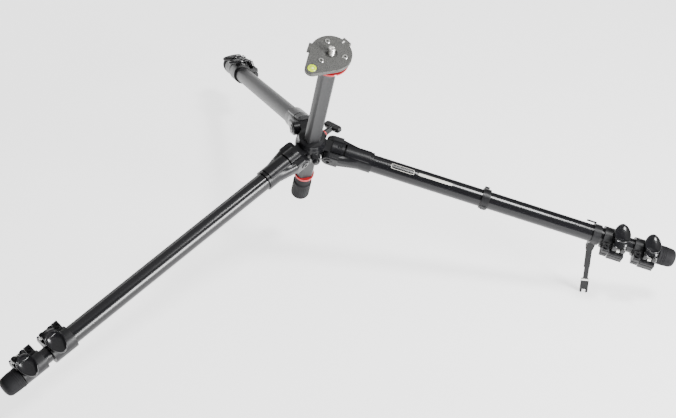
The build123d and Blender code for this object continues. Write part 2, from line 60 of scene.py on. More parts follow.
# ---- node trees ------------------------------------------------------------------------------
def shader(name, base, rough, metal=0.0, **sockets):
    """A material with one Principled shader; whole-surface numbers go straight on its sockets."""
    mat = bpy.data.materials.new(name)
    mat.use_nodes = True
    tree = mat.node_tree
    bsdf = tree.nodes["Principled BSDF"]
    bsdf.inputs["Base Color"].default_value = (*base, 1)
    bsdf.inputs["Roughness"].default_value = rough
    bsdf.inputs["Metallic"].default_value = metal
    for key, value in sockets.items():
        bsdf.inputs[key.replace("_", " ")].default_value = value
    return mat, tree, bsdf


def add(tree, kind, **values):
    """A node with its socket values set by name."""
    node = tree.nodes.new(kind)
    for key, value in values.items():
        node.inputs[key.replace("_", " ")].default_value = value
    return node


def place(tree, matrix=None, stretch=(1, 1, 1)):
    """Object coordinates, turned into a piece's own frame and stretched."""
    coord = tree.nodes.new("ShaderNodeTexCoord")
    turn = tree.nodes.new("ShaderNodeMapping")
    if matrix is not None:
        inverse = matrix.inverted()
        turn.inputs["Location"].default_value = inverse.to_translation()
        turn.inputs["Rotation"].default_value = inverse.to_euler()
    tree.links.new(coord.outputs["Object"], turn.inputs["Vector"])
    scale = tree.nodes.new("ShaderNodeMapping")
    scale.inputs["Scale"].default_value = stretch
    tree.links.new(turn.outputs["Vector"], scale.inputs["Vector"])
    return scale.outputs["Vector"]


def grain(tree, where, scale, detail=3.0, rough=0.5):
    """Fractal noise read at a place."""
    node = add(tree, "ShaderNodeTexNoise", Scale=scale, Detail=detail, Roughness=rough)
    tree.links.new(where, node.inputs["Vector"])
    return node.outputs["Fac"]


def spread(tree, value, low, high, start=0.3, end=0.7):
    """Maps a texture's middle range on to low..high."""
    node = add(tree, "ShaderNodeMapRange")
    for key, number in (("From Min", start), ("From Max", end), ("To Min", low), ("To Max", high)):
        node.inputs[key].default_value = number
    tree.links.new(value, node.inputs["Value"])
    return node.outputs["Result"]


def ramp(tree, value, stops):
    """Colour ramp from (position, colour) stops."""
    node = tree.nodes.new("ShaderNodeValToRGB")
    band = node.color_ramp
    while len(band.elements) < len(stops):
        band.elements.new(0.5)
    for element, (position, colour) in zip(band.elements, stops):
        element.position = position
        element.color = (*colour, 1)
    tree.links.new(value, node.inputs["Fac"])
    return node.outputs["Color"]


def relief(tree, bsdf, height, strength, depth):
    """Bump from a height."""
    node = add(tree, "ShaderNodeBump", Strength=strength, Distance=depth)
    tree.links.new(height, node.inputs["Height"])
    tree.links.new(node.outputs["Normal"], bsdf.inputs["Normal"])


def tone(base, low, high):
    """Two shades of one colour."""
    return tuple(min(1.0, c * low) for c in base), tuple(min(1.0, c * high) for c in base)


def coordinate(tree, where, axis):
    """One coordinate of a place."""
    split = tree.nodes.new("ShaderNodeSeparateXYZ")
    tree.links.new(where, split.inputs["Vector"])
    return split.outputs[axis]


def two_tone(tree, bsdf, where, share, dark, bright, gloss, bump):
    """Colour, gloss and relief of a piece that is dark where share is 0 and bright where it is 1.

    dark and bright are pairs of shades; gloss is the size of its grain, then the lowest and highest roughness.
    """
    fine = grain(tree, where, 1500.0)
    blend = tree.nodes.new("ShaderNodeMix")
    blend.data_type = "RGBA"
    tree.links.new(share, blend.inputs["Factor"])
    for socket, (low, high) in ((6, dark), (7, bright)):
        tree.links.new(ramp(tree, fine, ((0.3, low), (0.7, high))), blend.inputs[socket])
    tree.links.new(blend.outputs[2], bsdf.inputs["Base Color"])
    tree.links.new(spread(tree, grain(tree, where, gloss[0]), *gloss[1:]), bsdf.inputs["Roughness"])
    relief(tree, bsdf, fine, bump, 0.0001)


def textured(name, base, rough, metal=0.0, grain_scale=900.0, shade=(0.8, 1.2), rough_spread=0.08,
             bump=0.15, depth=0.0002, matrix=None, stretch=(1, 1, 1), **sockets):
    """A finish whose colour, gloss and relief all wander with two sizes of grain."""
    mat, tree, bsdf = shader(name, base, rough, metal, **sockets)
    where = place(tree, matrix, stretch)
    fine = grain(tree, where, grain_scale, 4.0, 0.6)
    broad = grain(tree, where, grain_scale / 25, 3.0, 0.5)
    low, high = tone(base, *shade)
    tree.links.new(ramp(tree, fine, ((0.3, low), (0.7, high))), bsdf.inputs["Base Color"])
    tree.links.new(spread(tree, broad, rough - rough_spread, rough + rough_spread), bsdf.inputs["Roughness"])
    relief(tree, bsdf, fine, bump, depth)
    return mat


# ---- frames of the legs and the head ---------------------------------------------------------
joints = {joint["name"]: joint for joint in frame["joints"]}


def frame_matrix(origin, x_axis, z_axis):
    """A right-handed frame from its origin, x axis and z axis."""
    x, z = Vector(x_axis).normalized(), Vector(z_axis).normalized()
    y = z.cross(x).normalized()
    turn = Matrix((x, y, z)).transposed()
    return Matrix.Translation(Vector(origin)) @ turn.to_4x4()


def leg_matrix(side):
    """A leg's frame: +X down the leg from its pivot, +Y along the pivot pin."""
    pivot = joints[f"leg_spread_{side}"]
    along, across = Vector(joints[f"middle_slide_{side}"]["axis"]), -Vector(pivot["axis"])
    return frame_matrix(pivot["pos_m"], along, along.cross(across))


def head_matrix():
    """The head's frame: +Z up the column, origin level with the leg pivots."""
    middle = sum((Vector(joints[f"leg_spread_{side}"]["pos_m"]) for side in SIDES), Vector()) / 3
    return frame_matrix(middle, (1, 0, 0), joints["column_slide"]["axis"])


def corners(name, matrix):
    """A CAD node's corners in a piece's own frame."""
    into = matrix.inverted()
    return np.array([into @ Vector(corner.co) for corner in nodes[name].data.vertices])


LEG = {side: leg_matrix(side) for side in SIDES}
HEAD = head_matrix()


# ---- finishes --------------------------------------------------------------------------------
class TripodFinish(bpy.types.PropertyGroup):
    """Colours and gloss of the whole tripod."""
    paint: FloatVectorProperty(name="Casting paint", description="Gloss paint on the castings",
                               subtype="COLOR", size=3, min=0, max=1, default=(0.006, 0.006, 0.007))
    anodise: FloatVectorProperty(name="Leg tubes", description="Anodised layer on the leg tubes",
                                 subtype="COLOR", size=3, min=0, max=1, default=(0.006, 0.006, 0.007))
    column: FloatVectorProperty(name="Column", description="Satin layer on the centre column",
                                subtype="COLOR", size=3, min=0, max=1, default=(0.013, 0.013, 0.014))
    plate: FloatVectorProperty(name="Head plate", description="Powder coat on the head plate",
                               subtype="COLOR", size=3, min=0, max=1, default=(0.060, 0.060, 0.057))
    accent: FloatVectorProperty(name="Accent", description="Red moulded rings",
                                subtype="COLOR", size=3, min=0, max=1, default=(0.42, 0.006, 0.012))
    rubber: FloatVectorProperty(name="Rubber", description="Feet and end knob",
                                subtype="COLOR", size=3, min=0, max=1, default=(0.009, 0.009, 0.010))
    level: FloatVectorProperty(name="Level liquid", description="Liquid in the round level",
                               subtype="COLOR", size=3, min=0, max=1, default=(0.66, 0.86, 0.01))
    tube_gloss: FloatProperty(name="Tube roughness", description="Roughness of the leg tubes",
                              min=0.05, max=0.9, default=0.20)


def paint_nodes(mat, *names):
    """Puts one finish in every slot of the named CAD nodes."""
    for name in names:
        slots = nodes[name].data.materials
        if len(slots):
            for index in range(len(slots)):
                slots[index] = mat
        else:
            slots.append(mat)


class TRIPOD_OT_castings(bpy.types.Operator):
    """Gloss black paint with a faint orange peel on the spider and the leg castings"""
    bl_idname = "tripod.castings"
    bl_label = "Castings"

    def execute(self, context):
        finish = context.scene.tripod_finish
        paint = textured("casting paint", finish.paint, 0.28, 0.0, 420.0, (0.7, 1.5), 0.04, 0.006, 0.0001,
                         Specular_IOR_Level=0.30)
        paint_nodes(paint, "spider", *(f"leg_casting_{side}" for side in SIDES))
        catch = textured("catch plastic", finish.paint, 0.30, 0.0, 1400.0, (0.8, 1.3), 0.05, 0.06, 0.0001,
                         Specular_IOR_Level=0.30)
        paint_nodes(catch, *(f"angle_tab_{side}" for side in SIDES))
        bolts = textured("blackened bolts", (0.02, 0.02, 0.021), 0.32, 0.7, 1200.0, (0.6, 1.4), 0.08, 0.1)
        paint_nodes(bolts, "pivot_bolts")
        moulded = textured("moulded black", (0.008, 0.008, 0.009), 0.38, 0.0, 2600.0, (0.7, 1.4), 0.06, 0.15,
                           Specular_IOR_Level=0.30)
        paint_nodes(moulded, "column_bush", "lock_knob", "tool_clips",
                    *(f"{end}_lock_{side}" for end in ENDS for side in SIDES))
        return {"FINISHED"}


class TRIPOD_OT_tubes(bpy.types.Operator):
    """Anodised tubes: long fine draw lines, gloss that wanders along the leg"""
    bl_idname = "tripod.tubes"
    bl_label = "Tubes and column"

    def execute(self, context):
        finish = context.scene.tripod_finish
        for side in SIDES:
            gloss = finish.tube_gloss + (0.20 if side == "rear" else 0.0)
            tube = textured(f"anodised tube {side}", finish.anodise, gloss, 0.0, 1500.0,
                            (0.7, 1.5), 0.03, 0.002, 0.00005, LEG[side], (0.02, 1, 1),
                            Specular_IOR_Level=0.40)
            paint_nodes(tube, *(f"{part}_tube_{side}" for part in ("upper", "middle", "lower")))
        column = textured("column satin", finish.column, 0.50, 0.0, 1500.0, (0.75, 1.3), 0.05, 0.03, 0.0001,
                          HEAD, (1, 1, 0.02))
        paint_nodes(column, "column_tube")
        collar = textured("column head paint", (0.022, 0.022, 0.023), 0.42, 0.0, 1600.0, (0.7, 1.4), 0.06, 0.15)
        paint_nodes(collar, "column_head")
        return {"FINISHED"}


def clamp_screws(side, end):
    """Lock screws: plated steel nearer the lever's pin, painted shade (near black) under the collar's edge."""
    mat, tree, bsdf = shader(f"clamp screws {end} {side}", (0.3, 0.3, 0.3), 0.3, 1.0)
    where = place(tree, LEG[side])
    pin = (LEG[side].inverted() @ Vector(joints[f"{end}_lever_{side}"]["pos_m"])).x
    shade_fade_from, shade_fade_to = pin - 0.0090, pin - 0.0080
    share = spread(tree, coordinate(tree, where, "X"), 0.0, 1.0, shade_fade_from, shade_fade_to)
    # first pair: painted shade, near black, on the screws nearer the pivot; second pair: the steel's own colour
    two_tone(tree, bsdf, where, share, ((0.010, 0.010, 0.011), (0.026, 0.026, 0.027)),
             ((0.48, 0.48, 0.46), (0.68, 0.68, 0.66)), (70.0, 0.22, 0.36), 0.1)
    return mat


def spanner_steel():
    """Phosphated steel with a painted highlight: a bright band between two heights under the spanner's pin."""
    mat, tree, bsdf = shader("phosphated spanner", (0.02, 0.02, 0.021), 0.4, 0.8)
    where = place(tree)
    height = coordinate(tree, where, "Z")
    pin = joints["spanner_swing"]["pos_m"][2]
    highlight_low, highlight_high, blur = pin - 0.0620, pin - 0.0584, 0.0004
    over = spread(tree, height, 0.0, 1.0, highlight_low, highlight_low + blur)
    under = spread(tree, height, 1.0, 0.0, highlight_high - blur, highlight_high)
    highlight_mask = tree.nodes.new("ShaderNodeMath")
    highlight_mask.operation = "MULTIPLY"
    tree.links.new(over, highlight_mask.inputs[0])
    tree.links.new(under, highlight_mask.inputs[1])
    # bright pair: the painted highlight band; dark pair: the phosphated steel's own colour
    two_tone(tree, bsdf, where, highlight_mask.outputs[0], ((0.010, 0.010, 0.011), (0.035, 0.035, 0.036)),
             ((0.60, 0.60, 0.58), (0.80, 0.80, 0.78)), (60.0, 0.30, 0.50), 0.15)
    return mat


class TRIPOD_OT_small_finishes(bpy.types.Operator):
    """Steel, red mouldings, rubber, nylon, level, spanner and speckled plate"""
    bl_idname = "tripod.small_finishes"
    bl_label = "Small finishes"

    def execute(self, context):
        finish = context.scene.tripod_finish
        steel = textured("plated steel", (0.55, 0.55, 0.53), 0.28, 1.0, 1800.0, (0.8, 1.15), 0.08, 0.12)
        paint_nodes(steel, "head_screw", "set_screws", "lock_stud")
        for side in SIDES:
            for end in ENDS:
                paint_nodes(clamp_screws(side, end), f"{end}_lock_bolts_{side}")
        red = textured("red moulding", finish.accent, 0.38, 0.0, 1600.0, (0.8, 1.2), 0.06, 0.1)
        paint_nodes(red, "head_ring", "column_end_ring", "lock_knob_collar")
        rubber = textured("dark rubber", finish.rubber, 0.62, 0.0, 1700.0, (0.6, 1.5), 0.08, 0.35)
        paint_nodes(rubber, "column_end_knob", *(f"foot_{side}" for side in SIDES))
        nylon = textured("natural nylon", (0.6, 0.6, 0.57), 0.5, 0.0, 900.0, (0.9, 1.1), 0.06, 0.1)
        paint_nodes(nylon, "lock_pad",
                    *(f"{part}_glide_{side}" for part in ("middle", "lower") for side in SIDES))
        paint_nodes(spanner_steel(), "spanner")
        lever = textured("lever gloss", (0.005, 0.005, 0.006), 0.2, 0.0, 900.0, (0.8, 1.3), 0.05, 0.04)
        paint_nodes(lever, *(f"{end}_lever_{side}" for end in ENDS for side in SIDES))
        plate = textured("plate powder coat", finish.plate, 0.5, 0.1, 1300.0, (0.10, 2.4), 0.06, 0.2,
                         Specular_IOR_Level=0.3)
        paint_nodes(plate, "head_plate")
        liquid = textured("level liquid", finish.level, 0.12, 0.0, 300.0, (0.8, 1.1), 0.03, 0.02)
        paint_nodes(liquid, "level_vial")
        return {"FINISHED"}


# ---- stage -----------------------------------------------------------------------------------
class TripodStage(bpy.types.PropertyGroup):
    """Where the view stands, in metres and degrees."""
    eye: FloatVectorProperty(name="Eye", description="Where the camera stands", subtype="TRANSLATION",
                             unit="LENGTH", size=3, default=(-0.4594, -1.7408, 1.2509))
    tilt: FloatProperty(name="Tilt", description="Turn up from straight down, in degrees", default=55.405)
    roll: FloatProperty(name="Roll", description="Lean of the view, in degrees", default=-0.257)
    heading: FloatProperty(name="Heading", description="Turn about the vertical, in degrees", default=-17.242)
    lens: FloatProperty(name="Lens", description="Focal length in millimetres", min=10, max=300, default=71.38)
    floor: FloatProperty(name="Floor size", description="Side of the square floor", unit="LENGTH",
                         min=2, max=60, default=30.0)


# each lamp's name, place, width and length in metres, and power in watts
LAMPS = (("top", (0.0, 0.2, 3.2), (4.5, 4.5), 40.0),
         ("key", (0.86, -0.90, 2.20), (0.45, 0.45), 45.0),
         ("low", (1.30, -1.95, 0.60), (0.80, 0.80), 110.0),
         ("back", (-0.3, 2.6, 1.7), (2.4, 1.0), 25.0))
LAMPS_AIM = (0, 0, 0.15)


class TRIPOD_OT_stage(bpy.types.Operator):
    """A wide pale floor, soft area lamps and the camera"""
    bl_idname = "tripod.stage"
    bl_label = "Stage"

    def execute(self, context):
        stage = context.scene.tripod_stage
        half = stage.floor / 2
        edge = np.linspace(-half, half, 9)
        u, v = np.meshgrid(edge, edge, indexing="ij")
        points = np.stack([u, v, np.zeros_like(u)], -1)
        floor = surface("floor_sheet", points, wrap=False, caps=False)
        mat, tree, bsdf = shader("pale floor", (0.9, 0.9, 0.9), 0.8, Emission_Color=(1, 1, 1, 1),
                                 Emission_Strength=1.7)
        where = place(tree)
        pale = ramp(tree, grain(tree, where, 3.0), ((0.3, (0.89, 0.89, 0.89)), (0.7, (0.91, 0.91, 0.91))))
        tree.links.new(pale, bsdf.inputs["Base Color"])
        floor.data.materials.append(mat)
        for name, spot, size, power in LAMPS:
            light = bpy.data.lights.new(name, "AREA")
            light.shape, light.size, light.size_y, light.energy = "RECTANGLE", *size, power
            lamp = bpy.data.objects.new(name, light)
            lamp.location = spot
            aim = Vector(LAMPS_AIM) - Vector(spot)
            lamp.rotation_euler = aim.to_track_quat("-Z", "Y").to_euler()
            context.scene.collection.objects.link(lamp)
        world = bpy.data.worlds.new("studio air")
        world.use_nodes = True
        world.node_tree.nodes["Background"].inputs["Color"].default_value = (1, 1, 1, 1)
        world.node_tree.nodes["Background"].inputs["Strength"].default_value = 0.10
        context.scene.world = world
        camera = bpy.data.objects.new("camera", bpy.data.cameras.new("camera"))
        camera.location = stage.eye
        camera.rotation_euler = (radians(stage.tilt), radians(stage.roll), radians(stage.heading))
        camera.data.lens, camera.data.sensor_width, camera.data.sensor_fit = stage.lens, 36.0, "HORIZONTAL"
        camera.data.clip_end = 100
        context.scene.collection.objects.link(camera)
        context.scene.camera = camera
        return {"FINISHED"}


# ---- made surfaces ---------------------------------------------------------------------------
def surface(name, points, wrap=True, caps=True, loop=False, matrix=None, smooth=True):
    """Mesh of quads from a grid of points (rows along the piece, columns round it).

    Each grid cell is one quad; the last column joins the first when wrap is set and the last row joins the
    first when loop is set. Each end row is closed with one many-sided face when caps is set. Faces are turned
    outward by the sign of the volume they enclose.
    """
    rows, cols = points.shape[:2]
    flat = points.reshape(-1, 3)
    if matrix is not None:
        m = np.array(matrix)
        flat = flat @ m[:3, :3].T + m[:3, 3]
    i, j = np.meshgrid(np.arange(rows if loop else rows - 1), np.arange(cols if wrap else cols - 1),
                       indexing="ij")
    k, below = (j + 1) % cols, (i + 1) % rows
    quads = np.stack([i * cols + j, i * cols + k, below * cols + k, below * cols + j], -1).reshape(-1, 4)
    a, b, c, d = (flat[quads[:, corner]] - flat.mean(0) for corner in range(4))
    volume = (np.cross(a, b) * c).sum() + (np.cross(a, c) * d).sum()
    faces = quads.tolist()
    if caps:
        faces.append(list(range(cols))[::-1])
        faces.append(list(range((rows - 1) * cols, rows * cols)))
    mesh = bpy.data.meshes.new(name)
    mesh.from_pydata(flat.tolist(), [], faces)
    mesh.update()
    if volume < 0 and (caps or loop):
        mesh.flip_normals()
    if smooth:
        mesh.polygons.foreach_set("use_smooth", np.ones(len(mesh.polygons), dtype=bool))
    piece = bpy.data.objects.new(name, mesh)
    bpy.context.scene.collection.objects.link(piece)
    return piece


# ---- made pieces -----------------------------------------------------------------------------
def curve(points, count):
    """Smooth line through points: each span is a cubic of its four nearest points, sampled evenly."""
    p = np.asarray(points, float)
    p = np.vstack([2 * p[0] - p[1], p, 2 * p[-1] - p[-2]])
    t = np.linspace(0, len(p) - 3 - 1e-9, count)
    i = t.astype(int)
    t = (t - i)[:, None]
    a, b, c, d = p[i], p[i + 1], p[i + 2], p[i + 3]
    return 0.5 * (2 * b + (c - a) * t + (2 * a - 5 * b + 4 * c - d) * t ** 2 + (3 * b - a - 3 * c + d) * t ** 3)


def oval(count, power=2.0):
    """Unit outline: cosine and sine of the angle, each raised to 2 / power with its sign kept."""
    angle = np.linspace(0, tau, count, endpoint=False)
    c, s = np.cos(angle), np.sin(angle)
    return np.sign(c) * np.abs(c) ** (2 / power), np.sign(s) * np.abs(s) ** (2 / power)


def joined(name, parts, matrix):
    """One piece from the point grids of several closed surfaces."""
    made = [surface(f"{name}_{index}", points, matrix=matrix) for index, points in enumerate(parts)]
    data = [piece.data for piece in made]
    bottoms = np.cumsum([0] + [len(mesh.vertices) for mesh in data])
    spots = []
    faces = []
    for mesh, bottom in zip(data, bottoms):
        flat = np.empty(len(mesh.vertices) * 3)
        mesh.vertices.foreach_get("co", flat)
        spots.append(flat.reshape(-1, 3))
        faces.extend([[corner + int(bottom) for corner in face.vertices] for face in mesh.polygons])
    for piece, mesh in zip(made, data):
        bpy.data.objects.remove(piece)
        bpy.data.meshes.remove(mesh)
    whole = bpy.data.meshes.new(name)
    whole.from_pydata(np.vstack(spots).tolist(), [], faces)
    whole.update()
    whole.polygons.foreach_set("use_smooth", np.ones(len(whole.polygons), dtype=bool))
    piece = bpy.data.objects.new(name, whole)
    bpy.context.scene.collection.objects.link(piece)
    return piece


def swept(line, half_x, half_t, count=40, power=2.6):
    """Bar bent in the y-z plane: at each point of the line, a rounded section half_x wide and half_t thick.

    The section stands square to the line: point + half_x * oval x along x + half_t * oval y along the normal.
    """
    along = np.gradient(line, axis=0)
    along /= np.linalg.norm(along, axis=1)[:, None]
    normal = np.stack([-along[:, 1], along[:, 0]], -1)
    ox, oy = oval(count, power)
    x = half_x[:, None] * ox
    yz = line[:, None, :] + (half_t[:, None] * oy)[..., None] * normal[:, None, :]
    return np.concatenate([x[..., None], yz], -1)


class LeverSizes(bpy.types.PropertyGroup):
    """The flip levers of the leg locks, in metres."""
    width: FloatProperty(name="Paddle width", description="Along the leg", unit="LENGTH", default=0.0250)
    height: FloatProperty(name="Paddle height", description="Round the leg", unit="LENGTH", default=0.0340)
    taper: FloatProperty(name="Taper", description="How much narrower the tip is", min=0, max=0.5, default=0.17)
    dish: FloatProperty(name="Dish", description="Depth of the thumb hollow", unit="LENGTH", default=0.0022)


# outer radius of the lock collar under each lever
COLLAR_RADIUS = {"upper": 0.0163, "lower": 0.0143}


class TRIPOD_OT_levers(bpy.types.Operator):
    """Flip levers: a dished oval paddle with a crisp rim, a bent arm and two knuckles on the cross pin"""
    bl_idname = "tripod.levers"
    bl_label = "Flip levers"

    def paddle(self, sizes, ring, middle):
        """Closed oval: radius share s and height h follow one line from the hollow's middle, over the rim,
        to the underside's middle. x = s * half width * cos * (1 - taper * sin), y = s * half height * sin,
        z = h, then tilted a little about x."""
        d = sizes.dish
        line = curve([(0.0, 2.3e-3 - d), (0.35, 2.4e-3 - d), (0.62, 2.5e-3 - 0.72 * d),
                      (0.80, 2.5e-3 - 0.3 * d), (0.90, 2.55e-3), (0.955, 2.35e-3), (0.995, 1.2e-3), (1.0, 0.0),
                      (0.975, -1.3e-3), (0.9, -2.2e-3), (0.6, -2.4e-3), (0.3, -2.4e-3), (0.0, -2.4e-3)], 64)
        share, height = np.clip(line[:, 0], 0.002, 1.0), line[:, 1]
        angle = np.linspace(0, tau, 96, endpoint=False)
        x = share[:, None] * sizes.width / 2 * np.cos(angle) * (1 - sizes.taper * np.sin(angle))
        y = share[:, None] * sizes.height / 2 * np.sin(angle)
        z = np.broadcast_to(height[:, None], x.shape)
        lean = radians(4.0)
        y, z = y * cos(lean) + z * sin(lean), z * cos(lean) - y * sin(lean)
        return np.stack([x + middle, y + 0.0020, z + ring + 0.0039], -1)

    def arm(self, pin, ring):
        """Bent bar from the pin up under the paddle, a little waisted and thinner towards the paddle."""
        top, rows = ring + 0.0064, 26
        line = curve([(pin.y + 0.0006, pin.z + 0.0056), (pin.y + 0.0020, top - 0.0060),
                      (pin.y + 0.0062, top - 0.0028), (pin.y + 0.0125, top - 0.0022)], rows)
        share = np.linspace(0, 1, rows)
        bar = swept(line, 0.0104 - 0.0006 * np.sin(pi * share), 0.0036 - 0.0014 * share)
        bar[..., 0] += pin.x
        return bar

    def knuckle(self, pin, flip):
        """One cheek on the pin, rounded off at its lower end: half thickness follows a superellipse there."""
        rows, apart = 24, 0.0067
        line = curve([(pin.y - 0.0002, pin.z - 0.0045), (pin.y, pin.z), (pin.y + 0.0006, pin.z + 0.0036),
                      (pin.y + 0.0016, pin.z + 0.0080)], rows)
        reach = np.linspace(-1, 1, rows)
        half = 0.0044 * np.sqrt(np.clip(1 - np.clip(-reach, 0, 0.985) ** 2.2, 0, 1))
        cheek = swept(line, np.full(rows, 0.0037), np.maximum(half, 0.0006), 32, 3.2)
        cheek[..., 0] += pin.x + flip * apart
        return cheek

    def moulding(self):
        """Glossy black plastic, its gloss wandering slightly."""
        finish, tree, bsdf = shader("lever moulding", (0.005, 0.005, 0.006), 0.18, 0.0, Specular_IOR_Level=0.45)
        where = place(tree)
        shades = ((0.3, (0.004, 0.004, 0.005)), (0.7, (0.010, 0.010, 0.011)))
        tree.links.new(ramp(tree, grain(tree, where, 900.0), shades), bsdf.inputs["Base Color"])
        tree.links.new(spread(tree, grain(tree, where, 60.0), 0.13, 0.22), bsdf.inputs["Roughness"])
        relief(tree, bsdf, grain(tree, where, 500.0), 0.05, 0.0001)
        return finish

    def execute(self, context):
        sizes = context.scene.tripod_lever
        finish = self.moulding()
        for side in SIDES:
            into_leg = LEG[side].inverted()
            for end in ENDS:
                ring = COLLAR_RADIUS[end]
                pin = into_leg @ Vector(joints[f"{end}_lever_{side}"]["pos_m"])
                parts = [self.paddle(sizes, ring, pin.x), self.arm(pin, ring),
                         self.knuckle(pin, -1), self.knuckle(pin, 1)]
                piece = joined(f"lever_{end}_{side}", parts, LEG[side])
                piece.data.materials.append(finish)
                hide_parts(f"{end}_lever_{side}")
                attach(piece, f"{end}_lever_{side}")
        return {"FINISHED"}


class RubberSizes(bpy.types.PropertyGroup):
    """Rubber feet and the column's end knob, in metres."""
    foot_lip: FloatProperty(name="Foot lip", description="Height of the foot's top lip", unit="LENGTH",
                            default=0.0005)
    groove: FloatProperty(name="Groove", description="Depth of the foot's grooves", unit="LENGTH",
                          default=0.0003)
    flute: FloatProperty(name="Flute", description="Depth of the end knob's flutes", unit="LENGTH",
                         default=0.0004)
    flutes: IntProperty(name="Flutes", description="Flutes round the end knob", min=6, max=60, default=28)


class TRIPOD_OT_rubbers(bpy.types.Operator):
    """Rubber feet with a lip and shallow grooves, and the fluted end knob of the column"""
    bl_idname = "tripod.rubbers"
    bl_label = "Rubber pieces"

    def turned(self, line, angle, dip=0.0):
        """Turned surface's two coordinates: radius from the line less the dip, never quite on the axis."""
        radius = np.maximum(line[:, 1:2] - dip, 0.0002)
        return radius * np.cos(angle), radius * np.sin(angle)

    def foot(self, side, sizes):
        """A foot's grid of points: lip, three grooves and a taper rounded into the sole."""
        shape = corners(f"foot_{side}", LEG[side])
        start, end = shape[:, 0].min(), shape[:, 0].max()
        wide = np.hypot(shape[:, 1], shape[:, 2]).max()
        wall, dent = wide - sizes.foot_lip, sizes.groove
        body = [(start, wide - 0.0024), (start + 0.0002, wide - 0.0008), (start + 0.0010, wide - 0.0002),
                (start + 0.0022, wide - 0.0002), (start + 0.0030, wall)]
        for step in range(3):
            x = start + 0.0050 + 0.0026 * step
            body += [(x - 0.0006, wall - 0.0001), (x, wall - dent - 0.0001), (x + 0.0006, wall - 0.0001)]
        body += [(start + 0.0150, wall - 0.0004), (end - 0.0070, wide - 0.0013), (end - 0.0040, wide - 0.0022),
                 (end - 0.0016, wide - 0.0042), (end - 0.0002, wide - 0.0076), (end, wide - 0.0100),
                 (end, 0.0003)]
        line = curve(body, 120)
        y, z = self.turned(line, np.linspace(0, tau, 96, endpoint=False))
        x = np.broadcast_to(np.minimum(line[:, :1], end), y.shape)
        return np.stack([x, y, z], -1)

    def end_knob(self, sizes):
        """The end knob's grid of points: a fluted grip under a plain neck.

        dip = flute depth * (1 - |cos(flutes * angle / 2)|), fading out over 2 mm at both ends of the grip.
        """
        low = corners("column_end_knob", HEAD)[:, 2].min()
        neck, plain, fade = low + 0.0384, 0.004, 0.002
        body = [(low, 0.0002), (low, 0.0090), (low + 0.0005, 0.0118), (low + 0.0020, 0.0136),
                (low + 0.0040, 0.0140), (low + 0.0200, 0.0140), (neck - 0.0030, 0.0139),
                (neck - 0.0012, 0.0134), (neck, 0.0124),
                (neck + 0.0020, 0.0121), (neck + 0.0100, 0.0122), (neck + 0.0150, 0.0122),
                (neck + 0.0166, 0.0116), (neck + 0.0170, 0.0090)]
        line = curve(body, 150)
        height = line[:, 0]
        keep = np.clip((height - low - plain) / fade, 0, 1) * np.clip((neck - plain - height) / fade, 0, 1)
        angle = np.linspace(0, tau, 336, endpoint=False)
        dip = sizes.flute * (1 - np.abs(np.cos(sizes.flutes * angle / 2))) * keep[:, None]
        x, y = self.turned(line, angle, dip)
        return np.stack([x, y, np.broadcast_to(line[:, :1], x.shape)], -1)

    def execute(self, context):
        sizes = context.scene.tripod_rubber
        base = context.scene.tripod_finish.rubber
        mat = textured("moulded rubber", base, 0.70, 0.0, 1900.0, (0.6, 1.5), 0.07, 0.20,
                       Specular_IOR_Level=0.15)
        for side in SIDES:
            piece = surface(f"rubber_foot_{side}", self.foot(side, sizes), matrix=LEG[side])
            piece.data.materials.append(mat)
            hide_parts(f"foot_{side}")
            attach(piece, f"lower_{side}")
        piece = surface("end_knob_grip", self.end_knob(sizes), matrix=HEAD)
        piece.data.materials.append(mat)
        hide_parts("column_end_knob")
        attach(piece, "column_end_knob")
        return {"FINISHED"}


class HeadSizes(bpy.types.PropertyGroup):
    """Small pieces on the head plate, in metres."""
    pitch: FloatProperty(name="Thread pitch", description="Rise of the screw's thread in one turn",
                         unit="LENGTH", default=0.0015875)
    thread: FloatProperty(name="Thread depth", description="Root to crest", unit="LENGTH", default=0.0005)
    bubble: FloatProperty(name="Bubble radius", description="Air bubble in the round level", unit="LENGTH",
                          default=0.0020)


